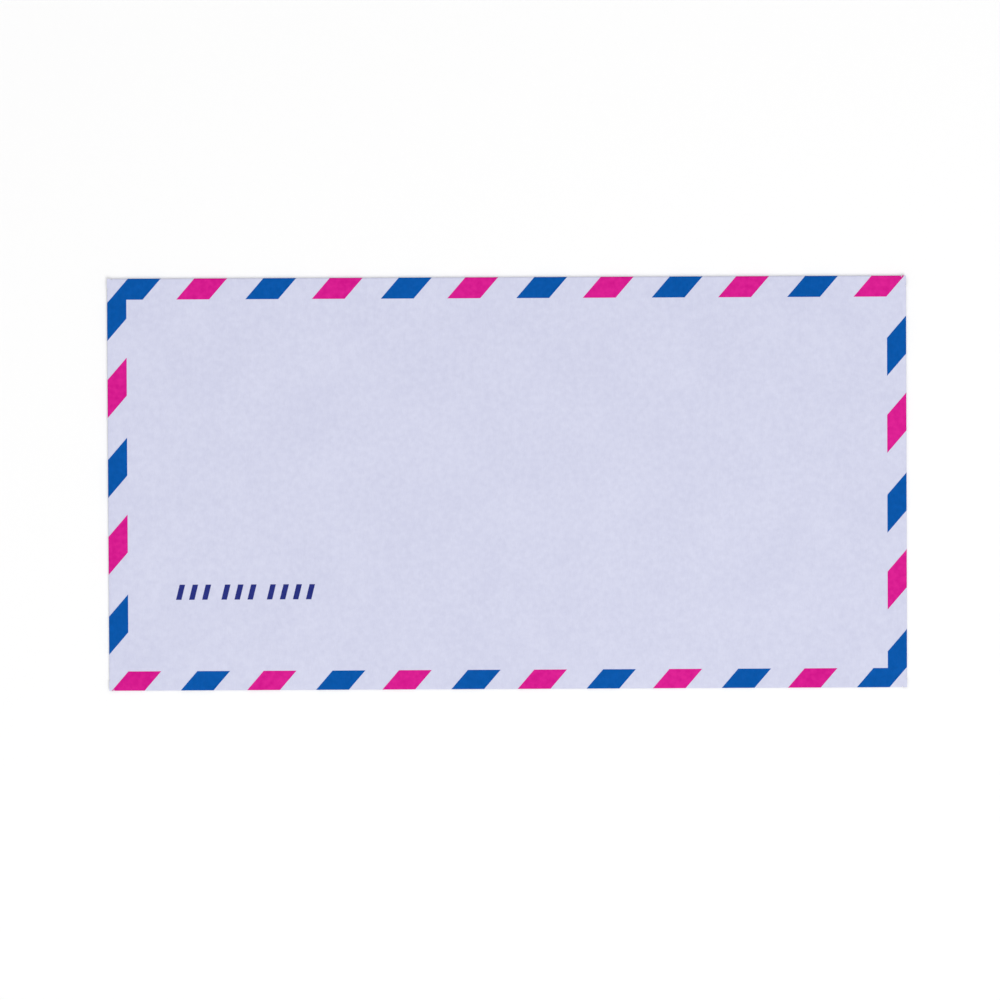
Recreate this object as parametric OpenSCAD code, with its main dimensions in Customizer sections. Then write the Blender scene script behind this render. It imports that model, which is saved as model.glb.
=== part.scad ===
// Airmail envelope: one sheet of thin paper, die-cut, folded and glued, with a border printed round its face.
// It lies on its back, face up. X runs along the long folds and Y from the bottom fold to the top fold.
// The closing flap is folded behind, loose, so the sheet touches the table at z = 0 with that flap.

/* [Face] */
// Width of the finished envelope, along its long folds
face_w = 190; // [150:1:240]
// Height of the finished envelope, from its bottom fold to its top fold
face_h = 98; // [80:1:130]
// How far the long folds stop short of the face's corners
corner_relief = 1.2; // [0.8:0.1:2]
// Width of the die's cut between a fold's end and the face's corner
corner_slit = 0.2; // [0.1:0.05:0.4]

/* [Paper] */
// Thickness of the paper
paper_t = 0.1; // [0.08:0.01:0.2]
// Free height in the pocket, between the side flaps and the face
pocket_gap = 0.3; // [0.2:0.05:1.5]
// Play between the closing flap and the back panel that it covers
flap_play = 0.05; // [0.02:0.01:0.4]

/* [Closing flap] */
// Height of the closing flap, from the top fold to its free edge
flap_h = 36; // [25:1:45]
// How far each end of the flap's free edge is set in from the end of its fold
flap_taper = 12; // [4:1:25]
// Radius of the flap's two free corners
flap_corner_r = 9; // [3:0.5:15]

/* [Back panel] */
// Depth of the mouth, from the top fold down to the back panel's free edge
mouth_depth = 14; // [8:1:20]
// How far each end of the back panel's free edge is set in from the end of its fold
back_taper = 1; // [0:0.5:4]
// Radius of the back panel's two corners at the mouth
mouth_corner_r = 6; // [2:0.5:10]

/* [Side flaps] */
// Width of a side flap, from its fold to its free edge
side_flap_w = 15; // [10:0.5:20]
// How far each end of a side flap's free edge is set in from the end of its fold
side_flap_taper = 6; // [2:0.5:10]
// How far the side folds stop short of the face's corners
side_flap_relief = 2.5; // [1.5:0.1:4]
// Radius of a side flap's two free corners
side_flap_corner_r = 2; // [0.5:0.5:4]

/* [Printed border] */
// Width of the printed border along the bottom fold and the side folds
border_w = 4.6; // [3:0.1:8]
// Width of the printed border along the top fold
border_top_w = 5; // [3:0.1:8]
// Slope of the stripes above the long edges, in degrees
stripe_angle = 49.2; // [40:0.1:60]
// Width of a stripe, measured along a long edge
stripe_w = 7.8; // [4:0.1:10]
// Distance between neighbouring stripes, blue to magenta, measured along a long edge
stripe_pitch = 16.1; // [12:0.1:24]
// How far the stripes are printed off the middle, along a long edge
print_shift = 0.1; // [-1:0.1:1]
// How much further the blue ink is printed, along a long edge
blue_register = 0.3; // [-0.6:0.1:0.6]
// Thickness of the ink film
ink_t = 0.02; // [0.02:0.01:0.05]

/* [Caption strokes] */
// Height of a stroke
stroke_h = 3.6; // [2:0.1:6]
// Thickness of a stroke along the line
stroke_w = 1.3; // [0.6:0.1:2]
// Distance between neighbouring strokes of a group
stroke_pitch = 3.1; // [2.5:0.1:4]
// Distance from a group's last stroke to the next group's first
group_pitch = 4.6; // [4.1:0.1:8]
// Lean of the strokes from upright, in degrees
stroke_lean = 14; // [0:1:25]
// Distance from the left fold to the first stroke
caption_left = 16; // [10:0.1:40]
// Height of the strokes' feet above the bottom fold
caption_foot = 21.6; // [10:0.1:40]

/* [Hidden] */
$fn = 64;
// How many steps a corner's arc is cut in
arc_steps = 12;

paper_colour = [0.84, 0.85, 0.93];
blue_colour = [0, 0.34, 0.66];
magenta_colour = [0.85, 0.14, 0.56];
indigo_colour = [0.19, 0.22, 0.55];

// How many strokes each group of the caption has
GROUPS = [3, 3, 4];

// The layers, from the table up: closing flap, back panel, side flaps, pocket, face
back_z = paper_t + flap_play;
side_z = back_z + paper_t;
face_z = side_z + paper_t + pocket_gap;
total_t = face_z + paper_t;

// Each fold is a half turn from the face down to its own panel
top_r = total_t / 2;
bottom_r = (total_t - back_z) / 2;
side_r = (total_t - side_z) / 2;
long_fold = face_w - 2 * corner_relief;
side_fold = face_h - 2 * side_flap_relief;

// The face's four folds, as [turn about Z, distance from the centre, outside radius, length]
FOLDS = [
    [0, face_h / 2, top_r, long_fold],
    [180, face_h / 2, bottom_r, long_fold],
    [90, face_w / 2, side_r, side_fold],
    [-90, face_w / 2, side_r, side_fold],
];

// The panel behind each fold, as [underside's height, depth from the fold, free edge's inset, corner radius]
PANELS = [
    [0, flap_h, flap_taper, flap_corner_r],
    [back_z, face_h - mouth_depth, back_taper, mouth_corner_r],
    [side_z, side_flap_w, side_flap_taper, side_flap_corner_r],
    [side_z, side_flap_w, side_flap_taper, side_flap_corner_r],
];

// Puts its children where a fold begins, with +Y pointing out of the face
module at_fold(fold) {
    rotate([0, 0, fold[0]])
        translate([0, fold[1] - fold[2], 0])
            children();
}

// A layer of thickness t, as long as a fold, that bends through an angle down from its top at this height
module bend(length, r, t, angle, top_z) {
    translate([0, 0, top_z - r])
        rotate([0, -90, 0])
            rotate_extrude(angle = angle)
                translate([r - t, -length / 2])
                    square([t, length]);
}

// A panel from its fold, on the X axis, back to its free edge at -depth, with both free corners rounded
module panel(base, depth, inset, corner_r) {
    slope = atan2(inset, depth);
    centre = [base / 2 - inset - corner_r * tan(45 - slope / 2), corner_r - depth];
    arc = [
        for (i = [0:arc_steps])
            let (angle = -slope - (90 - slope) * i / arc_steps)
                centre + corner_r * [cos(angle), sin(angle)]
    ];
    right = concat([[base / 2, 0]], arc);
    left = [for (i = [len(right) - 1:-1:0]) [-right[i][0], right[i][1]]];
    linear_extrude(paper_t)
        polygon(concat(right, left));
}

// A layer of thickness t on the flat of the face, which ends where its folds begin and has square corners
module face_layer(z, t) {
    difference() {
        translate([-face_w / 2, -face_h / 2, z])
            cube([face_w, face_h, t]);
        for (fold = FOLDS)
            at_fold(fold)
                translate([-fold[3] / 2 - corner_slit, 0, z - t])
                    cube([fold[3] + 2 * corner_slit, 2 * fold[2], 3 * t]);
    }
}

// The sheet: the face, its four folds and the panel behind each, with the side flaps glued to the back panel
module folded_sheet() {
    color(paper_colour) {
        face_layer(face_z, paper_t);
        for (i = [0:3])
            at_fold(FOLDS[i]) {
                bend(FOLDS[i][3], FOLDS[i][2], paper_t, 180, total_t);
                translate([0, 0, PANELS[i][0]])
                    panel(FOLDS[i][3], PANELS[i][1] - FOLDS[i][2], PANELS[i][2], PANELS[i][3]);
            }
    }
}

// What the press prints on, as deep as the ink: the face and the outer half of each fold
module print_skin() {
    face_layer(total_t, ink_t);
    for (fold = FOLDS)
        at_fold(fold)
            bend(fold[3], fold[2] + ink_t, ink_t, 90, total_t + ink_t);
}

// The border in plan, open inwards and reaching past the envelope's edges
module border_frame() {
    difference() {
        square([face_w + border_w, face_h + border_w], center = true);
        translate([0, (border_w - border_top_w) / 2])
            square([face_w - 2 * border_w, face_h - border_w - border_top_w], center = true);
    }
}

// Every second slanted stripe of the border, one of them crossing the face's middle at this shift
module slanted_stripes(shift) {
    reach_y = (face_h + border_w) / 2;
    lean_x = reach_y / tan(stripe_angle);
    last = ceil((face_w / 2 + lean_x) / (2 * stripe_pitch));
    for (i = [-last:last])
        translate([shift + 2 * i * stripe_pitch, 0])
            polygon([
                [-lean_x - stripe_w / 2, -reach_y], [-lean_x + stripe_w / 2, -reach_y],
                [lean_x + stripe_w / 2, reach_y], [lean_x - stripe_w / 2, reach_y],
            ]);
}

// The stripes of one colour, printed over the face and round its folds
module border_print(shift) {
    intersection() {
        print_skin();
        linear_extrude(total_t + 2 * ink_t)
            intersection() {
                border_frame();
                slanted_stripes(shift);
            }
    }
}

module blue_stripes() {
    color(blue_colour)
        border_print(print_shift + blue_register);
}

module magenta_stripes() {
    color(magenta_colour)
        border_print(print_shift + stripe_pitch);
}

// Where group g of the caption starts along its line
function group_start(g) = g == 0 ? 0 : group_start(g - 1) + (GROUPS[g - 1] - 1) * stroke_pitch + group_pitch;

// A line of slanted strokes at the face's lower left
module caption_strokes() {
    lean_x = stroke_h * tan(stroke_lean);
    color(indigo_colour)
        translate([caption_left - face_w / 2, caption_foot - face_h / 2, total_t])
            linear_extrude(ink_t)
                for (g = [0:len(GROUPS) - 1], i = [0:GROUPS[g] - 1])
                    translate([group_start(g) + i * stroke_pitch, 0])
                        polygon([[0, 0], [stroke_w, 0], [stroke_w + lean_x, stroke_h], [lean_x, stroke_h]]);
}

folded_sheet();
blue_stripes();
magenta_stripes();
caption_strokes();
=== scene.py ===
"""Looks of an airmail envelope: a paper blank, folded and glued, with three films of ink on its face.

Every piece is made in metres in the frame's own axes: X along the long folds, Y from the bottom fold to the
top fold, and Z up, out of the printed face.
"""

import logging
import math
from dataclasses import dataclass
from enum import Enum
from typing import Iterable, Sequence

import bmesh
import bpy
from mathutils import Matrix, Vector, noise


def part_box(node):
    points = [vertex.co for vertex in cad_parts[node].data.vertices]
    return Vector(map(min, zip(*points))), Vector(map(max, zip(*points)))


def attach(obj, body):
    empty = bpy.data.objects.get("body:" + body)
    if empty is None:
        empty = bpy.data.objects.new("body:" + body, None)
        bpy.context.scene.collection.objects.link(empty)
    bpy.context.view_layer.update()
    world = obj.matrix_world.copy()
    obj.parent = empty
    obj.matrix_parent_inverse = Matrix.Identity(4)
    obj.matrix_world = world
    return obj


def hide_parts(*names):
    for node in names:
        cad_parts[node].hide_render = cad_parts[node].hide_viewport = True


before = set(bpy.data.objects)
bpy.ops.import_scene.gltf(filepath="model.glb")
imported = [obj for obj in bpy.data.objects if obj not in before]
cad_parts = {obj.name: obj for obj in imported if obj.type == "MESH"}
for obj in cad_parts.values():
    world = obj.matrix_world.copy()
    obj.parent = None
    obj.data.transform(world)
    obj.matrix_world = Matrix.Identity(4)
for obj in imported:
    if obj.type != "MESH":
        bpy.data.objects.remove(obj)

LOG = logging.getLogger("envelope")

MM = 0.001
BODY = "root"

Colour = tuple[float, float, float, float]
WHITE: Colour = (1.0, 1.0, 1.0, 1.0)
BLACK: Colour = (0.0, 0.0, 0.0, 1.0)


class ScreenCurve:
    """The curve from a screen's values to linear light: a straight foot, and a power above it.

    Attributes:
        top: The screen's highest value.
        foot_end: The share of the highest value where the straight foot ends.
        foot_slope: How much steeper the foot is than linear light.
        offset: How far the power is moved, so that it meets the foot.
        power: The power.
    """

    top: int = 255
    foot_end: float = 0.04045
    foot_slope: float = 12.92
    offset: float = 0.055
    power: float = 2.4

    @classmethod
    def linear(cls, value: int) -> float:
        """Turns one of a screen's values into linear light.

        Args:
            value: The value, from 0 to the highest one.

        Returns:
            The light, from 0 to 1.
        """
        share = value / cls.top
        if share <= cls.foot_end:
            return share / cls.foot_slope
        return ((share + cls.offset) / (1 + cls.offset)) ** cls.power


def from_screen(red: int, green: int, blue: int) -> Colour:
    """Turns a colour as a screen shows it, from 0 to 255, into the linear one that a shader takes.

    Args:
        red: The red part.
        green: The green part.
        blue: The blue part.

    Returns:
        The linear colour, with an alpha of 1.
    """
    return (*(ScreenCurve.linear(value) for value in (red, green, blue)), 1.0)


def smooth_step(value: float) -> float:
    """Eases a value from 0 to 1, level at both ends."""
    held = min(max(value, 0.0), 1.0)
    return held * held * (3 - 2 * held)


class Edge(Enum):
    """The face's four folded edges, each with its turn about Z in degrees from the top one."""

    TOP = 0
    BOTTOM = 180
    LEFT = 90
    RIGHT = -90


@dataclass(frozen=True)
class Fold:
    """One fold of the sheet and the panel behind it.

    Attributes:
        edge: The edge of the face that it runs along.
        reach: How far that edge lies from the middle of the face.
        radius: The fold's outside radius.
        length: The fold's length.
        depth: How far the panel reaches back from the edge.
        inset: How far each end of the panel's free edge is set in.
        corner: The radius of the panel's two free corners.
    """

    edge: Edge
    reach: float
    radius: float
    length: float
    depth: float
    inset: float
    corner: float

    @property
    def half_turn(self) -> float:
        """The paper's length round the outside of the fold."""
        return math.pi * self.radius

    def place(self, top: float) -> Matrix:
        """Gives the move from the fold's own axes, with Y out of the face, to the frame's.

        Args:
            top: The height of the face's printed side.

        Returns:
            The matrix of that move.
        """
        turn = Matrix.Rotation(math.radians(self.edge.value), 4, "Z")
        return turn @ Matrix.Translation((0, self.reach - self.radius, top))

    def wrap(self, point: Vector) -> Vector:
        """Bends a point of the flat blank round the fold, and on to the panel behind it.

        Args:
            point: The point, with X along the fold and Y out from where the fold begins.

        Returns:
            The folded point, in the same axes.
        """
        if point.y <= self.half_turn:
            angle = point.y / self.radius
            return Vector((point.x, self.radius * math.sin(angle), self.radius * (math.cos(angle) - 1)))
        return Vector((point.x, self.half_turn - point.y, -2 * self.radius))


@dataclass(frozen=True)
class EnvelopeSizes:
    """The envelope's sizes. The overall ones come from the frame, and the others are the part's own.

    Attributes:
        width: The face's width, along the long folds.
        height: The face's height, between the long folds.
        thickness: The folded envelope's thickness.
        paper: The paper's thickness.
        flap_play: The gap between the closing flap and the back panel.
        corner_relief: How far the long folds end from the face's corners.
        corner_slit: The width of the slit between a fold's end and the face's square corner.
        flap_depth: How far the closing flap reaches from the top fold.
        flap_inset: How far each end of its free edge is set in.
        flap_corner: The radius of its two free corners.
        mouth_depth: How far from the top fold the back panel ends.
        back_inset: How far each end of the back panel's free edge is set in.
        mouth_corner: The radius of the back panel's two free corners.
        side_depth: How far the side flaps reach from their folds.
        side_inset: How far each end of their free edges is set in.
        side_relief: How far the short folds end from the face's corners.
        side_corner: The radius of the side flaps' free corners.
    """

    width: float
    height: float
    thickness: float
    paper: float = 0.1 * MM
    flap_play: float = 0.05 * MM
    corner_relief: float = 1.2 * MM
    corner_slit: float = 0.2 * MM
    flap_depth: float = 36 * MM
    flap_inset: float = 12 * MM
    flap_corner: float = 9 * MM
    mouth_depth: float = 14 * MM
    back_inset: float = 1 * MM
    mouth_corner: float = 6 * MM
    side_depth: float = 15 * MM
    side_inset: float = 6 * MM
    side_relief: float = 2.5 * MM
    side_corner: float = 2 * MM

    @classmethod
    def from_frame(cls) -> "EnvelopeSizes":
        """Takes the overall sizes from the frame's own sheet.

        Returns:
            The envelope's sizes.
        """
        low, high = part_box(PaperBlank.node)
        span = Vector(high) - Vector(low)
        return cls(width=span.x, height=span.y, thickness=span.z)

    @property
    def back_height(self) -> float:
        """The height of the back panel's underside, over the closing flap."""
        return self.paper + self.flap_play

    @property
    def side_height(self) -> float:
        """The height of the side flaps' underside, glued to the back panel."""
        return self.back_height + self.paper

    @property
    def folds(self) -> tuple[Fold, ...]:
        """The four folds with their panels: closing flap, back panel and two side flaps.

        Returns:
            The folds, in the order in which their panels are listed.
        """
        reach = self.height / 2
        long_fold = self.width - 2 * self.corner_relief
        side_fold = self.height - 2 * self.side_relief
        top_radius = self.thickness / 2
        foot_radius = (self.thickness - self.back_height) / 2
        side_radius = (self.thickness - self.side_height) / 2
        flap = (self.flap_depth, self.flap_inset, self.flap_corner)
        back = (self.height - self.mouth_depth, self.back_inset, self.mouth_corner)
        side = (self.side_depth, self.side_inset, self.side_corner)
        return (
            Fold(Edge.TOP, reach, top_radius, long_fold, *flap),
            Fold(Edge.BOTTOM, reach, foot_radius, long_fold, *back),
            Fold(Edge.LEFT, self.width / 2, side_radius, side_fold, *side),
            Fold(Edge.RIGHT, self.width / 2, side_radius, side_fold, *side),
        )


@dataclass(frozen=True)
class RestingForm:
    """How the folded paper lies at rest: the face bows up, and the back settles round the closing flap.

    Attributes:
        sizes: The envelope's sizes.
        crown: How far the middle of the face bows up.
        ripple: How far the face wanders up and down between its folds.
        ripple_length: The length of one such wave.
        settle_length: The length over which the back comes down to the table, past the flap's free edge.
    """

    sizes: EnvelopeSizes
    crown: float = 0.3 * MM
    ripple: float = 0.06 * MM
    ripple_length: float = 45 * MM
    settle_length: float = 10 * MM

    def lift(self, point: Vector) -> float:
        """Gives how far a point of the flat-folded sheet moves up at rest.

        Args:
            point: The point, as folded flat.

        Returns:
            The move along Z, less than 0 where the paper settles.
        """
        sizes = self.sizes
        flap_edge = sizes.height / 2 - sizes.flap_depth
        below_flap = flap_edge - point.y
        back = -sizes.back_height * smooth_step(below_flap / self.settle_length)
        face = -sizes.back_height * smooth_step(below_flap / (flap_edge + sizes.height / 2))
        bow = (1 - (2 * point.x / sizes.width) ** 2) * (1 - (2 * point.y / sizes.height) ** 2)
        wave = noise.noise(Vector((point.x, point.y, 0)) / self.ripple_length)
        face += max(bow, 0.0) * (self.crown + self.ripple * wave)
        pocket_floor = sizes.side_height + sizes.paper
        pocket = sizes.thickness - sizes.paper - pocket_floor
        share = smooth_step((point.z - pocket_floor) / pocket)
        return back + (face - back) * share


class Sheet:
    """A paper surface under the cutter: its printed side as a mesh, before it gets its thickness.

    Attributes:
        cut_reach: How near a cut a vertex counts as lying on it.
        weld_reach: How near each other two vertices count as one.
        crease: The angle between two faces above which their edge stays sharp.
    """

    cut_reach: float = 1e-9
    weld_reach: float = 0.001 * MM
    crease: float = math.radians(40)

    def __init__(
        self, width: float, height: float, centre: Sequence[float] = (0, 0), level: float = 0.0
    ) -> None:
        """Starts as one rectangle, face up.

        Args:
            width: The rectangle's size along X.
            height: The rectangle's size along Y.
            centre: The middle of the rectangle.
            level: The height that it lies at.
        """
        self.bm = bmesh.new()
        move = Matrix.Translation((*centre, level)) @ Matrix.Diagonal((width, height, 1, 1))
        bmesh.ops.create_grid(self.bm, x_segments=1, y_segments=1, size=0.5, matrix=move)

    def cut(self, point: Sequence[float], normal: Sequence[float], trim: bool = False) -> None:
        """Cuts along one upright plane.

        Args:
            point: A point on the plane.
            normal: The plane's normal.
            trim: Whether what lies on the normal's side falls away.
        """
        bmesh.ops.bisect_plane(
            self.bm,
            geom=[*self.bm.verts, *self.bm.edges, *self.bm.faces],
            dist=self.cut_reach,
            plane_co=(*point, 0),
            plane_no=(*normal, 0),
            clear_outer=trim,
        )

    def cut_grid(self, along_x: Iterable[float], along_y: Iterable[float]) -> None:
        """Cuts straight across the sheet, over and over.

        Args:
            along_x: The places along X where it is cut along Y.
            along_y: The places along Y where it is cut along X.
        """
        for place in along_x:
            self.cut((place, 0), (1, 0))
        for place in along_y:
            self.cut((0, place), (0, 1))

    def drop(self, faces: list[bmesh.types.BMFace]) -> None:
        """Takes faces away, with what only they used."""
        bmesh.ops.delete(self.bm, geom=faces, context="FACES")

    def add(self, other: "Sheet") -> None:
        """Adds another sheet's faces to this one's.

        Args:
            other: The other sheet, which is used up.
        """
        carrier = bpy.data.meshes.new("carrier")
        other.bm.to_mesh(carrier)
        other.bm.free()
        self.bm.from_mesh(carrier)
        bpy.data.meshes.remove(carrier)

    def weld(self) -> None:
        """Joins the vertices that lie together, where panels meet or two cuts cross."""
        bmesh.ops.remove_doubles(self.bm, verts=self.bm.verts, dist=self.weld_reach)

    def relax(self, form: RestingForm) -> None:
        """Moves the flat-folded surface to where it lies at rest."""
        for vert in self.bm.verts:
            vert.co.z += form.lift(vert.co)

    def thicken(self, thickness: float) -> None:
        """Gives the surface its thickness, as a closed shell.

        Args:
            thickness: Above 0 to grow under the printed side, and below 0 to grow over it.
        """
        bmesh.ops.solidify(self.bm, geom=self.bm.faces[:], thickness=thickness)
        bmesh.ops.recalc_face_normals(self.bm, faces=self.bm.faces)
        self.order_faces()

    def order_faces(self) -> None:
        """Puts the faces in the order of their vertices.

        Blender makes the shell's rim in an order that varies, and the mesh is to be the same each run.
        """
        self.bm.verts.index_update()
        ordered = sorted(self.bm.faces, key=lambda face: sorted(vert.index for vert in face.verts))
        rank = {face: place for place, face in enumerate(ordered)}
        self.bm.faces.sort(key=rank.get)

    def finish(self, name: str) -> bpy.types.Object:
        """Turns the mesh into an object of the scene, smooth but for its cut edges.

        Args:
            name: The object's name.

        Returns:
            The new object.
        """
        for face in self.bm.faces:
            face.smooth = True
        for edge in self.bm.edges:
            edge.smooth = edge.calc_face_angle(math.pi) < self.crease
        mesh = bpy.data.meshes.new(name)
        self.bm.to_mesh(mesh)
        self.bm.free()
        piece = bpy.data.objects.new(name, mesh)
        bpy.context.scene.collection.objects.link(piece)
        return piece


@dataclass(frozen=True)
class BlankCutter:
    """Cuts the sheet's face and panels, so that they meet vertex to vertex at the folds.

    Attributes:
        sizes: The envelope's sizes.
        spacing: The mesh's spacing on the flats.
        bend_steps: How many steps a half turn takes.
        corner_steps: How many tangents a round corner takes.
    """

    sizes: EnvelopeSizes
    spacing: float = 2 * MM
    bend_steps: int = 12
    corner_steps: int = 12

    def places(self, half: float) -> list[float]:
        """Gives the mesh's places from the middle out to both sides, within half a length."""
        count = math.floor(half / self.spacing)
        return [self.spacing * step for step in range(-count, count + 1)]

    def face(self) -> Sheet:
        """Cuts the flat of the face, which ends where its folds begin and has square corners.

        Returns:
            The face, at the height of its printed side.
        """
        sizes = self.sizes
        sheet = Sheet(sizes.width, sizes.height, level=sizes.thickness)
        along_x = self.places(sizes.width / 2)
        along_y = self.places(sizes.height / 2)
        for fold in sizes.folds:
            is_long = fold.edge in (Edge.TOP, Edge.BOTTOM)
            across, along = (along_y, along_x) if is_long else (along_x, along_y)
            side = 1 if fold.edge in (Edge.TOP, Edge.RIGHT) else -1
            across.append(side * (fold.reach - fold.radius))
            for end in (fold.length / 2, fold.length / 2 + sizes.corner_slit):
                along.extend((-end, end))
        sheet.cut_grid(sorted(set(along_x)), sorted(set(along_y)))
        for fold in sizes.folds:
            home = fold.place(sizes.thickness).inverted()
            local = [(face, home @ face.calc_center_median()) for face in sheet.bm.faces]
            half = fold.length / 2 + sizes.corner_slit
            sheet.drop([face for face, centre in local if centre.y > 0 and abs(centre.x) < half])
        return sheet

    def panel(self, fold: Fold, print_only: bool = False) -> Sheet:
        """Cuts one panel flat, and folds it behind the face.

        Args:
            fold: The panel's fold.
            print_only: Whether only the outer half of the fold is wanted, which the press prints on.

        Returns:
            The folded panel, in place.
        """
        flat = fold.depth - fold.radius
        turn = fold.half_turn
        length = turn / 2 if print_only else turn + flat
        sheet = Sheet(fold.length, length, centre=(0, length / 2))
        bend_places = [turn * step / self.bend_steps for step in range(1, self.bend_steps + 1)]
        flat_places = [turn + self.spacing * step for step in range(1, math.ceil(flat / self.spacing))]
        along_y = [place for place in bend_places + flat_places if place < length]
        sheet.cut_grid(self.places(fold.length / 2), along_y)
        if not print_only:
            self.trim_free_edge(sheet, fold, flat)
        move = fold.place(self.sizes.thickness)
        for vert in sheet.bm.verts:
            vert.co = move @ fold.wrap(vert.co)
        return sheet

    def trim_free_edge(self, sheet: Sheet, fold: Fold, flat: float) -> None:
        """Trims a flat panel's slanted ends and its two round corners.

        Args:
            sheet: The panel, flat.
            fold: The panel's fold.
            flat: The panel's length past the fold.
        """
        slope = math.atan2(fold.inset, flat)
        centre_x = fold.length / 2 - fold.inset - fold.corner * math.tan(math.pi / 4 - slope / 2)
        centre_y = fold.half_turn + flat - fold.corner
        for step in range(self.corner_steps + 1):
            angle = slope + (math.pi / 2 - slope) * step / self.corner_steps
            normal = Vector((math.cos(angle), math.sin(angle)))
            touch = Vector((centre_x, centre_y)) + fold.corner * normal
            for side in (1, -1):
                sheet.cut((side * touch.x, touch.y), (side * normal.x, normal.y), trim=True)

    def fold_up(self, form: RestingForm, print_only: bool = False) -> Sheet:
        """Cuts the whole blank, folds it and lets it settle.

        Args:
            form: How the paper lies at rest.
            print_only: Whether only the printed side is wanted: the face and the outer half of its folds.

        Returns:
            The printed side of the folded blank, in one piece.
        """
        sheet = self.face()
        for fold in self.sizes.folds:
            sheet.add(self.panel(fold, print_only))
        sheet.weld()
        sheet.relax(form)
        return sheet


@dataclass(frozen=True)
class FibreLook:
    """How the paper's make shows: broad clouds, small flocks where the fibres lie closer, and the fibres.

    Attributes:
        cloud_size: The size of the clouds.
        flock_size: The size of the flocks.
        flock_share: How strongly the flocks show, where 1 is as strongly as the clouds.
        fibre_width: The width of a fibre.
        fibre_length: The length of a fibre.
    """

    cloud_size: float = 18 * MM
    flock_size: float = 1.3 * MM
    flock_share: float = 2.0
    fibre_width: float = 0.25 * MM
    fibre_length: float = 1.25 * MM

    def inputs(self) -> dict[str, float]:
        """Gives the values that the shared node group takes, by the names of its inputs.

        Returns:
            The values by name.
        """
        return {
            "Cloud Size": self.cloud_size,
            "Flock Size": self.flock_size,
            "Flock Share": self.flock_share,
            "Fibre Width": self.fibre_width,
            "Fibre Length": self.fibre_length,
        }


class Wiring:
    """Puts nodes in a node tree and links them."""

    def __init__(self, tree: bpy.types.NodeTree) -> None:
        """Starts on an empty tree.

        Args:
            tree: The tree to fill.
        """
        self.tree = tree
        tree.nodes.clear()

    def fill(self, socket: bpy.types.NodeSocket, value: object) -> None:
        """Fills one input socket.

        Args:
            socket: The socket.
            value: A plain value, or another node's socket.
        """
        if isinstance(value, bpy.types.NodeSocket):
            self.tree.links.new(value, socket)
        else:
            socket.default_value = value

    def node(self, kind: str, inputs: dict[str | int, object], **settings: object) -> bpy.types.Node:
        """Adds one node.

        Args:
            kind: The node's type.
            inputs: What goes into its sockets, by name or number: a value, or another node's socket.
            settings: The node's own settings.

        Returns:
            The new node.
        """
        made = self.tree.nodes.new(kind)
        for name, value in settings.items():
            setattr(made, name, value)
        for name, value in inputs.items():
            self.fill(made.inputs[name], value)
        return made

    def math(self, operation: str, *values: object) -> bpy.types.NodeSocket:
        """Adds a sum of two or three values, and returns its result."""
        return self.node("ShaderNodeMath", dict(enumerate(values)), operation=operation).outputs[0]

    def mix(self, share: object, first: object, second: object) -> bpy.types.NodeSocket:
        """Adds a mix of two colours.

        Args:
            share: The second colour's share, from 0 to 1.
            first: The first colour.
            second: The second colour.

        Returns:
            The mixed colour.
        """
        made = self.node("ShaderNodeMix", {}, data_type="RGBA")
        sockets = [socket for socket in made.inputs if socket.enabled]
        for socket, value in zip(sockets, (share, first, second)):
            self.fill(socket, value)
        return next(socket for socket in made.outputs if socket.enabled)


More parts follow.
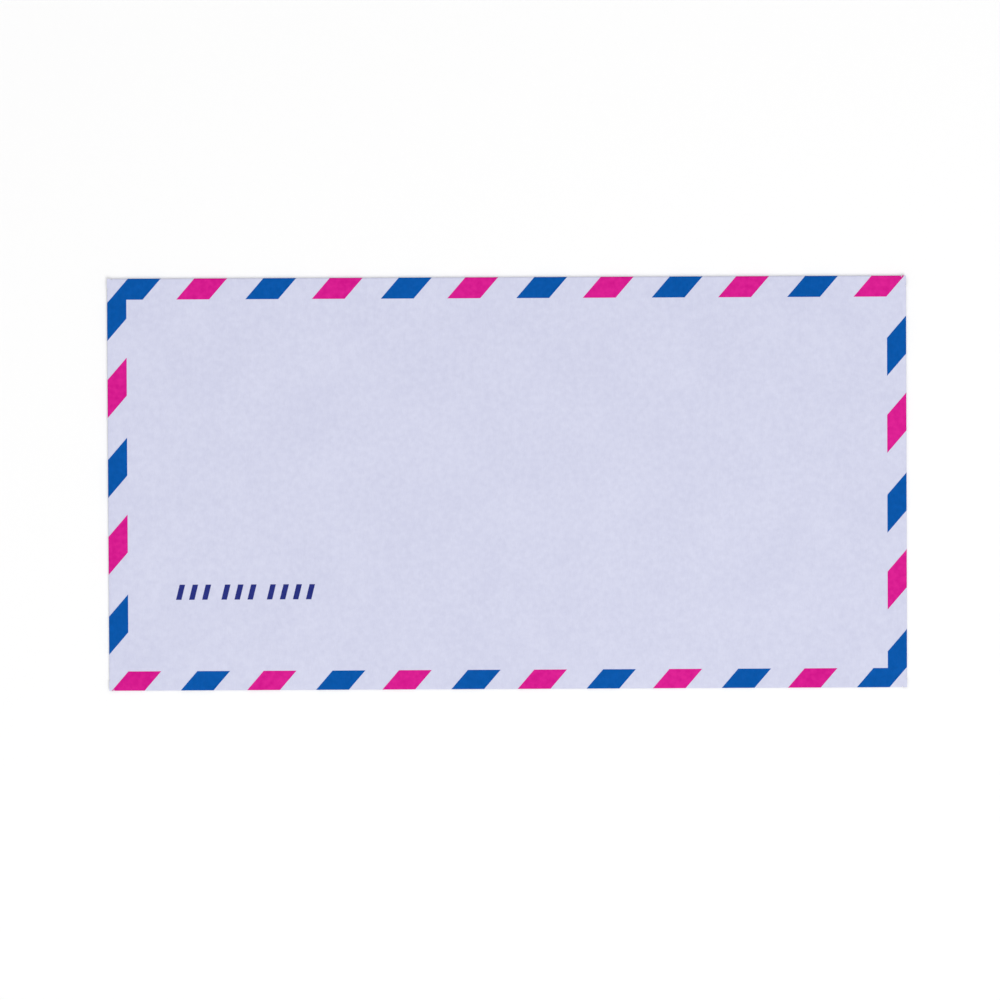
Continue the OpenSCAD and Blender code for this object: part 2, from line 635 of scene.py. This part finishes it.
@dataclass(frozen=True)
class FibreGroup:
    """The shared node group of the paper's make, which takes a FibreLook's values as its inputs.

    Attributes:
        name: The group's name.
        cloud_detail: How many finer layers the clouds' noise has.
        flock_detail: How many the flocks' noise has.
        fibre_detail: How many the fibres' noise has.
        noise_middle: The value that a noise wanders about.
        fibre_turns: The ways that the fibres lie, in degrees about Z.
        fibre_start: The noise at which a fibre begins to show.
        fibre_full: The noise at which it shows fully.
    """

    name: str = "paper_fibre"
    cloud_detail: float = 1.5
    flock_detail: float = 2.0
    fibre_detail: float = 1.0
    noise_middle: float = 0.5
    fibre_turns: tuple[float, ...] = (20, 80, 140)
    fibre_start: float = 0.45
    fibre_full: float = 0.75

    def build(self) -> bpy.types.NodeTree:
        """Builds the group.

        Returns:
            The group. Its outputs Tone and Fibre go from 0 to 1, and Height is for a bump.
        """
        group = bpy.data.node_groups.new(self.name, "ShaderNodeTree")
        wiring = Wiring(group)
        for name in FibreLook().inputs():
            group.interface.new_socket(name, in_out="INPUT", socket_type="NodeSocketFloat")
        for name in ("Tone", "Fibre", "Height"):
            group.interface.new_socket(name, in_out="OUTPUT", socket_type="NodeSocketFloat")
        given = wiring.node("NodeGroupInput", {}).outputs
        place = wiring.node("ShaderNodeTexCoord", {}).outputs["Object"]
        tone = self.add_tone(wiring, given, place)
        felt = self.add_felt(wiring, given, place)
        levels = {"Value": felt, "From Min": self.fibre_start, "From Max": self.fibre_full}
        fibre = wiring.node("ShaderNodeMapRange", levels).outputs[0]
        wiring.node("NodeGroupOutput", {"Tone": tone, "Fibre": fibre, "Height": felt})
        return group

    def add_tone(
        self, wiring: Wiring, given: bpy.types.NodeOutputs, place: bpy.types.NodeSocket
    ) -> bpy.types.NodeSocket:
        """Adds the clouds and the flocks.

        Args:
            wiring: The group's tree.
            given: The group's inputs, by name.
            place: The place on the surface.

        Returns:
            How closely the fibres lie there, from 0 to 1.
        """
        clouds = self.add_noise(wiring, given["Cloud Size"], self.cloud_detail, place)
        flocks = self.add_noise(wiring, given["Flock Size"], self.flock_detail, place)
        layers = {0: wiring.math("SUBTRACT", flocks, self.noise_middle), 1: given["Flock Share"], 2: clouds}
        return wiring.node("ShaderNodeMath", layers, operation="MULTIPLY_ADD", use_clamp=True).outputs[0]

    def add_felt(
        self, wiring: Wiring, given: bpy.types.NodeOutputs, place: bpy.types.NodeSocket
    ) -> bpy.types.NodeSocket:
        """Adds the fibres, which lie in several ways and cross each other.

        Args:
            wiring: The group's tree.
            given: The group's inputs, by name.
            place: The place on the surface.

        Returns:
            How high the topmost fibre stands there.
        """
        slimness = wiring.math("DIVIDE", given["Fibre Width"], given["Fibre Length"])
        stretch = wiring.node("ShaderNodeCombineXYZ", {"X": 1.0, "Y": slimness, "Z": 1.0}).outputs[0]
        strands = []
        for turn in self.fibre_turns:
            mapping = {"Vector": place, "Rotation": (0, 0, math.radians(turn)), "Scale": stretch}
            laid = wiring.node("ShaderNodeMapping", mapping, vector_type="POINT").outputs[0]
            strands.append(self.add_noise(wiring, given["Fibre Width"], self.fibre_detail, laid))
        felt, *others = strands
        for strand in others:
            felt = wiring.math("MAXIMUM", felt, strand)
        return felt

    @staticmethod
    def add_noise(
        wiring: Wiring, size: bpy.types.NodeSocket, detail: float, place: bpy.types.NodeSocket
    ) -> bpy.types.NodeSocket:
        """Adds noise.

        Args:
            wiring: The group's tree.
            size: The size of its spots.
            detail: How many finer layers it has.
            place: The place where it is read.

        Returns:
            The noise's value.
        """
        inputs = {"Vector": place, "Scale": wiring.math("DIVIDE", 1.0, size), "Detail": detail}
        return wiring.node("ShaderNodeTexNoise", inputs).outputs[0]


@dataclass(frozen=True)
class PaperFinish:
    """Thin, smooth writing paper with a faint blue cast.

    Attributes:
        name: The material's name.
        look: How its make shows.
        pale: The colour where its fibres lie closest.
        deep: The colour where they lie thinnest.
        fibre_shade: How much a fibre darkens it.
        roughness: Its roughness.
        specular: How strongly it shines.
        grain: How strongly its fibres stand out.
        grain_height: How high they stand.
    """

    name: str = "airmail_paper"
    look: FibreLook = FibreLook()
    pale: Colour = from_screen(216, 218, 239)
    deep: Colour = from_screen(208, 210, 233)
    fibre_shade: float = 0.03
    roughness: float = 0.7
    specular: float = 0.2
    grain: float = 0.25
    grain_height: float = 0.01 * MM

    def material(self, fibres: bpy.types.NodeTree) -> bpy.types.Material:
        """Builds the paper's material.

        Args:
            fibres: The shared group of the paper's make.

        Returns:
            The material.
        """
        made = bpy.data.materials.new(self.name)
        made.use_nodes = True
        wiring = Wiring(made.node_tree)
        make = wiring.node("ShaderNodeGroup", self.look.inputs(), node_tree=fibres)
        tone = wiring.mix(make.outputs["Tone"], self.deep, self.pale)
        shade = wiring.math("MULTIPLY", make.outputs["Fibre"], self.fibre_shade)
        colour = wiring.mix(shade, tone, BLACK)
        finish_surface(wiring, make, colour, self)
        return made


@dataclass(frozen=True)
class InkFinish:
    """Offset ink that has sunk into the paper: matte, a little mottled, and thinner where fibres stand out.

    Attributes:
        name: The material's name.
        colour: The ink's colour.
        under: The colour of the paper under it.
        look: How its mottle and the paper's fibres show.
        mottle: How much paler it is where it lies thinnest, and how much deeper where it lies thickest.
        thin_flocks: How much of the paper shows where the ink lies thinnest.
        thin_fibres: How much of the paper shows on a fibre.
        roughness: Its roughness.
        specular: How strongly it shines.
        grain: How strongly the fibres stand out.
        grain_height: How high they stand.
    """

    name: str
    colour: Colour
    under: Colour = from_screen(212, 213, 236)
    look: FibreLook = FibreLook(flock_size=1.1 * MM)
    mottle: float = 0.08
    thin_flocks: float = 0.006
    thin_fibres: float = 0.004
    roughness: float = 0.6
    specular: float = 0.03
    grain: float = 0.2
    grain_height: float = 0.008 * MM

    def material(self, fibres: bpy.types.NodeTree) -> bpy.types.Material:
        """Builds the ink's material.

        Args:
            fibres: The shared group of the paper's make.

        Returns:
            The material.
        """
        made = bpy.data.materials.new(self.name)
        made.use_nodes = True
        wiring = Wiring(made.node_tree)
        make = wiring.node("ShaderNodeGroup", self.look.inputs(), node_tree=fibres)
        ink = wiring.mix(make.outputs["Tone"], self.depth(1 - self.mottle), self.depth(1 + self.mottle))
        flocks = wiring.math("MULTIPLY", make.outputs["Tone"], self.thin_flocks)
        strands = wiring.math("MULTIPLY", make.outputs["Fibre"], self.thin_fibres)
        colour = wiring.mix(wiring.math("ADD", flocks, strands), ink, self.under)
        finish_surface(wiring, make, colour, self)
        return made

    def depth(self, level: float) -> Colour:
        """Gives the ink's colour, made paler by a level above 1 or deeper by one below 1."""
        return (*(part * level for part in self.colour[:3]), 1.0)


def finish_surface(
    wiring: Wiring, make: bpy.types.Node, colour: bpy.types.NodeSocket, finish: PaperFinish | InkFinish
) -> None:
    """Ends a material: the fibres' bump, the shader and the output.

    Args:
        wiring: The material's own tree.
        make: The node that holds the shared group.
        colour: The surface's colour.
        finish: The finish, for its plain values.
    """
    bump = wiring.node(
        "ShaderNodeBump",
        {"Strength": finish.grain, "Distance": finish.grain_height, "Height": make.outputs["Height"]},
    )
    shader = wiring.node(
        "ShaderNodeBsdfPrincipled",
        {
            "Base Color": colour,
            "Roughness": finish.roughness,
            "Specular IOR Level": finish.specular,
            "Normal": bump.outputs["Normal"],
        },
    )
    wiring.node("ShaderNodeOutputMaterial", {"Surface": shader.outputs[0]})


def settle_piece(piece: bpy.types.Object, material: bpy.types.Material, node: str) -> None:
    """Dresses a piece and ties it to the frame.

    Args:
        piece: The piece.
        material: Its material.
        node: The frame's node that it stands for.
    """
    piece.data.materials.append(material)
    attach(piece, BODY)
    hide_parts(node)
    LOG.info("%s: %d faces", piece.name, len(piece.data.polygons))


@dataclass(frozen=True)
class PaperBlank:
    """The one sheet that the envelope is folded from.

    Attributes:
        name: The piece's name.
        node: The frame's node that it stands for.
        slot: The record's slot of the paper. Not used.
    """

    name: str = "envelope_sheet"
    node: str = "folded_sheet"
    slot: str = "paper"

    def build(
        self, form: RestingForm, cutter: BlankCutter, material: bpy.types.Material
    ) -> bpy.types.Object:
        """Folds the blank and gives it the paper's thickness.

        Args:
            form: How the paper lies at rest.
            cutter: What cuts and folds it.
            material: The paper's material.

        Returns:
            The finished piece.
        """
        sheet = cutter.fold_up(form)
        sheet.thicken(cutter.sizes.paper)
        piece = sheet.finish(self.name)
        settle_piece(piece, material, self.node)
        return piece


@dataclass(frozen=True)
class BorderPrint:
    """The stripes of one ink round the face's border.

    Attributes:
        name: The piece's name.
        node: The frame's node that it stands for.
        slot: The record's slot of its ink. Not used.
        turn: Which stripe of each pair it prints, 0 for the first and 1 for the second.
        register: How far its own plate sits off its place, along X.
        shift: How far the whole print sits off the face's middle, along X.
        width: The border's width along the bottom and the sides.
        top_width: The border's width along the top.
        slope: The stripes' slope.
        stripe: A stripe's width along the long edges.
        pitch: The distance from one stripe to the next, of the other ink.
        film: The thickness of the ink.
    """

    name: str
    node: str
    slot: str
    turn: int
    register: float = 0.0
    shift: float = 0.1 * MM
    width: float = 4.6 * MM
    top_width: float = 5 * MM
    slope: float = math.radians(49.2)
    stripe: float = 7.8 * MM
    pitch: float = 16.1 * MM
    film: float = 0.02 * MM

    @property
    def start(self) -> float:
        """Where one of its stripes' middle lines crosses the middle of the face."""
        return self.shift + self.register + self.turn * self.pitch

    def across(self, point: Vector) -> float:
        """Gives how far a point lies from its nearest stripe's middle line, along X."""
        along = point.x - point.y / math.tan(self.slope) - self.start
        return (along + self.pitch) % (2 * self.pitch) - self.pitch

    def build(
        self, form: RestingForm, cutter: BlankCutter, material: bpy.types.Material
    ) -> bpy.types.Object:
        """Lays a film of ink over the face and round its folds, and keeps it where the stripes are.

        Args:
            form: How the paper lies at rest.
            cutter: What cut and folded the paper, so that the ink follows it.
            material: The ink's material.

        Returns:
            The finished piece.
        """
        sheet = cutter.fold_up(form, print_only=True)
        self.keep_border(sheet, cutter.sizes)
        self.keep_stripes(sheet, cutter.sizes)
        sheet.weld()
        sheet.thicken(-self.film)
        piece = sheet.finish(self.name)
        settle_piece(piece, material, self.node)
        return piece

    def keep_border(self, sheet: Sheet, sizes: EnvelopeSizes) -> None:
        """Takes away the ink inside the border.

        Args:
            sheet: The film, as a surface.
            sizes: The envelope's sizes.
        """
        inner_x = sizes.width / 2 - self.width
        inner_top = sizes.height / 2 - self.top_width
        inner_foot = self.width - sizes.height / 2
        sheet.cut_grid((-inner_x, inner_x), (inner_foot, inner_top))
        inside = []
        for face in sheet.bm.faces:
            centre = face.calc_center_median()
            if abs(centre.x) < inner_x and inner_foot < centre.y < inner_top:
                inside.append(face)
        sheet.drop(inside)

    def keep_stripes(self, sheet: Sheet, sizes: EnvelopeSizes) -> None:
        """Takes away the ink between the stripes.

        Args:
            sheet: The film, as a surface.
            sizes: The envelope's sizes.
        """
        normal = (math.sin(self.slope), -math.cos(self.slope))
        reach = sizes.width / 2 + sizes.height / 2 / math.tan(self.slope)
        last = math.ceil(reach / (2 * self.pitch))
        half = self.stripe / 2
        for step in range(-last, last + 1):
            middle = self.start + 2 * self.pitch * step
            sheet.cut((middle - half, 0), normal)
            sheet.cut((middle + half, 0), normal)
        places = [(face, self.across(face.calc_center_median())) for face in sheet.bm.faces]
        sheet.drop([face for face, place in places if abs(place) > half])


@dataclass(frozen=True)
class CaptionPrint:
    """The line of slanted strokes at the face's lower left.

    Attributes:
        name: The piece's name.
        node: The frame's node that it stands for.
        slot: The record's slot of its ink. Not used.
        groups: How many strokes each group has.
        height: A stroke's height.
        thickness: A stroke's thickness along the line.
        pitch: The distance between a group's strokes.
        group_pitch: The distance from a group's last stroke to the next group's first.
        lean: How far a stroke leans from upright.
        left: The distance from the left fold to the first stroke's foot.
        foot: The height of the strokes' feet above the bottom fold.
        film: The thickness of the ink.
    """

    name: str = "caption_print"
    node: str = "caption_strokes"
    slot: str = "indigo_ink"
    groups: tuple[int, ...] = (3, 3, 4)
    height: float = 3.6 * MM
    thickness: float = 1.3 * MM
    pitch: float = 3.1 * MM
    group_pitch: float = 4.6 * MM
    lean: float = math.radians(14)
    left: float = 16 * MM
    foot: float = 21.6 * MM
    film: float = 0.02 * MM

    def starts(self) -> Iterable[float]:
        """Works out where each stroke's foot starts along the line.

        Returns:
            The places, from the first stroke's on.
        """
        start = 0.0
        for count in self.groups:
            yield from (start + self.pitch * step for step in range(count))
            start += self.pitch * (count - 1) + self.group_pitch

    def stroke(self, start: float, sizes: EnvelopeSizes) -> Sheet:
        """Cuts one stroke.

        Args:
            start: Where its foot starts along the line.
            sizes: The envelope's sizes.

        Returns:
            The stroke, on the flat face.
        """
        foot_y = self.foot - sizes.height / 2
        middle = (start + self.left - sizes.width / 2 + self.thickness / 2, foot_y + self.height / 2)
        stroke = Sheet(self.thickness, self.height, centre=middle, level=sizes.thickness)
        for vert in stroke.bm.verts:
            vert.co.x += (vert.co.y - foot_y) * math.tan(self.lean)
        return stroke

    def build(self, form: RestingForm, material: bpy.types.Material) -> bpy.types.Object:
        """Prints the strokes on the face.

        Args:
            form: How the paper lies at rest.
            material: The ink's material.

        Returns:
            The finished piece.
        """
        line, *others = [self.stroke(start, form.sizes) for start in self.starts()]
        for stroke in others:
            line.add(stroke)
        line.relax(form)
        line.thicken(-self.film)
        piece = line.finish(self.name)
        settle_piece(piece, material, self.node)
        return piece


@dataclass(frozen=True)
class Lamp:
    """A soft lamp that shines at the envelope.

    Attributes:
        name: The lamp's name.
        place: Where it hangs.
        level: The share of full light that it gives a surface that faces it at the envelope.
    """

    name: str
    place: tuple[float, float, float]
    level: float

    def light(self) -> bpy.types.Light:
        """Makes the lamp's own light, which depends on its kind."""
        raise NotImplementedError

    def hang(self) -> None:
        """Puts the lamp in the scene."""
        lamp = bpy.data.objects.new(self.name, self.light())
        lamp.location = self.place
        lamp.rotation_euler = Vector(self.place).to_track_quat("Z", "Y").to_euler()
        bpy.context.scene.collection.objects.link(lamp)
        LOG.info("%s hung", self.name)


@dataclass(frozen=True)
class FarLamp(Lamp):
    """A broad lamp, so far off that it lights the whole table alike.

    Attributes:
        spread: The angle that it fills, seen from the table.
    """

    spread: float

    def light(self) -> bpy.types.Light:
        """Makes the lamp's own light.

        Returns:
            A light whose rays all come from the same patch of the sky. A surface that faces them gets its
            energy, and a white one sends back 1 / pi of that.
        """
        light = bpy.data.lights.new(self.name, "SUN")
        light.angle = self.spread
        light.energy = self.level * math.pi
        return light


@dataclass(frozen=True)
class NearLamp(Lamp):
    """A square lamp close by, which lights the near side of the envelope a little more.

    Attributes:
        side: The length of its side.
    """

    side: float

    def light(self) -> bpy.types.Light:
        """Makes the lamp's own light.

        Returns:
            A light from a square. A surface that faces it gets its power over pi and the square of the
            distance, and a white one sends back 1 / pi of that.
        """
        light = bpy.data.lights.new(self.name, "AREA")
        light.shape = "SQUARE"
        light.size = self.side
        light.energy = self.level * math.pi**2 * Vector(self.place).length_squared
        return light


@dataclass(frozen=True)
class Studio:
    """The pale table, the soft light and the camera straight above.

    Attributes:
        ambient: The strength of the light from all round.
        backdrop: The strength of the white that the camera sees all round.
        floor_side: The length of the table's side.
        floor_gap: How far the table lies under the part, so that the two don't share a plane.
        floor_bounce: The table's colour for the light that it throws back.
        lens: The camera's focal length in millimetres.
        view_width: How wide a strip of the face the camera sees.
        clip_ratio: How many times nearer or farther than the face the camera still sees.
        aim: The point that the camera looks down on.
        tilt: How far the camera leans from straight down, towards the envelope's bottom fold.
        pan: How far it leans towards the envelope's right fold.
        roll: How far it is turned about its own line of sight.
        lamps: The lamps.
    """

    ambient: float = 0.57
    backdrop: float = 1.0
    floor_side: float = 6.0
    floor_gap: float = 0.01 * MM
    floor_bounce: float = 0.8
    lens: float = 100.0
    view_width: float = 237.9 * MM
    clip_ratio: float = 100.0
    aim: tuple[float, float] = (-1.81 * MM, -3.98 * MM)
    tilt: float = math.radians(-0.6)
    pan: float = math.radians(-0.19)
    roll: float = math.radians(-0.25)
    lamps: tuple[Lamp, ...] = (
        FarLamp("key_lamp", place=(0.6, -0.9, 1.3), level=0.30, spread=math.radians(40)),
        FarLamp("fill_lamp", place=(-0.7, 0.9, 1.6), level=0.16, spread=math.radians(50)),
        NearLamp("side_lamp", place=(0.17, -0.35, 0.5), level=0.11, side=0.4),
    )

    @staticmethod
    def seen_share(wiring: Wiring) -> bpy.types.NodeSocket:
        """Adds a value that tells what is seen from what only lights the scene.

        Args:
            wiring: The tree that it goes into.

        Returns:
            The value: 1 for what the camera sees, directly, in a gloss or through glass, and otherwise 0.
        """
        path = wiring.node("ShaderNodeLightPath", {})
        seen = wiring.math("MAXIMUM", path.outputs["Is Camera Ray"], path.outputs["Is Glossy Ray"])
        return wiring.math("MAXIMUM", seen, path.outputs["Is Transmission Ray"])

    def lay_floor(self) -> None:
        """Lays the pale table."""
        made = bpy.data.materials.new("pale_table")
        made.use_nodes = True
        wiring = Wiring(made.node_tree)
        bounce = (self.floor_bounce, self.floor_bounce, self.floor_bounce, 1)
        colour = wiring.mix(self.seen_share(wiring), bounce, WHITE)
        shader = wiring.node("ShaderNodeBsdfDiffuse", {"Color": colour})
        wiring.node("ShaderNodeOutputMaterial", {"Surface": shader.outputs[0]})
        table = Sheet(self.floor_side, self.floor_side, level=-self.floor_gap).finish("table_top")
        table.data.materials.append(made)

    def light(self) -> None:
        """Sets the light from all round, and hangs the lamps."""
        world = bpy.data.worlds.new("studio")
        world.use_nodes = True
        wiring = Wiring(world.node_tree)
        levels = {"Value": self.seen_share(wiring), "To Min": self.ambient, "To Max": self.backdrop}
        strength = wiring.node("ShaderNodeMapRange", levels).outputs[0]
        shader = wiring.node("ShaderNodeBackground", {"Color": WHITE, "Strength": strength})
        wiring.node("ShaderNodeOutputWorld", {"Surface": shader.outputs[0]})
        bpy.context.scene.world = world
        for lamp in self.lamps:
            lamp.hang()

    def aim_camera(self, height: float) -> None:
        """Puts the camera above the face, looking straight down.

        Args:
            height: The height of the face.
        """
        data = bpy.data.cameras.new("camera")
        data.lens = self.lens
        distance = self.view_width * self.lens / data.sensor_width
        data.clip_start = distance / self.clip_ratio
        data.clip_end = distance * self.clip_ratio
        camera = bpy.data.objects.new("camera", data)
        turns = ((self.pan, "Y"), (self.tilt, "X"), (self.roll, "Z"))
        pan, tilt, roll = (Matrix.Rotation(angle, 4, axis) for angle, axis in turns)
        back = Matrix.Translation((0, 0, distance))
        camera.matrix_world = Matrix.Translation((*self.aim, height)) @ pan @ tilt @ roll @ back
        bpy.context.scene.collection.objects.link(camera)
        bpy.context.scene.camera = camera

    def build(self, height: float) -> None:
        """Builds the whole studio.

        Args:
            height: The height of the face.
        """
        self.lay_floor()
        self.light()
        self.aim_camera(height)
        bpy.context.scene.view_settings.view_transform = "Standard"


def main() -> None:
    """Builds the envelope and its studio."""
    logging.basicConfig(level=logging.INFO, format="%(name)s: %(message)s")
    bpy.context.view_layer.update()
    sizes = EnvelopeSizes.from_frame()
    form = RestingForm(sizes)
    cutter = BlankCutter(sizes)
    fibres = FibreGroup().build()
    paper = PaperFinish()
    blue = InkFinish("blue_ink", from_screen(0, 85, 168), thin_flocks=0.002)
    magenta = InkFinish("magenta_ink", from_screen(216, 18, 142), thin_flocks=0.014)
    indigo = InkFinish("indigo_ink", from_screen(38, 47, 125))
    blue_border = BorderPrint("blue_border", "blue_stripes", "blue_ink", turn=0, register=0.3 * MM)
    magenta_border = BorderPrint("magenta_border", "magenta_stripes", "magenta_ink", turn=1)
    PaperBlank().build(form, cutter, paper.material(fibres))
    blue_border.build(form, cutter, blue.material(fibres))
    magenta_border.build(form, cutter, magenta.material(fibres))
    CaptionPrint().build(form, indigo.material(fibres))
    Studio().build(sizes.thickness)


if __name__ == "__main__":
    main()
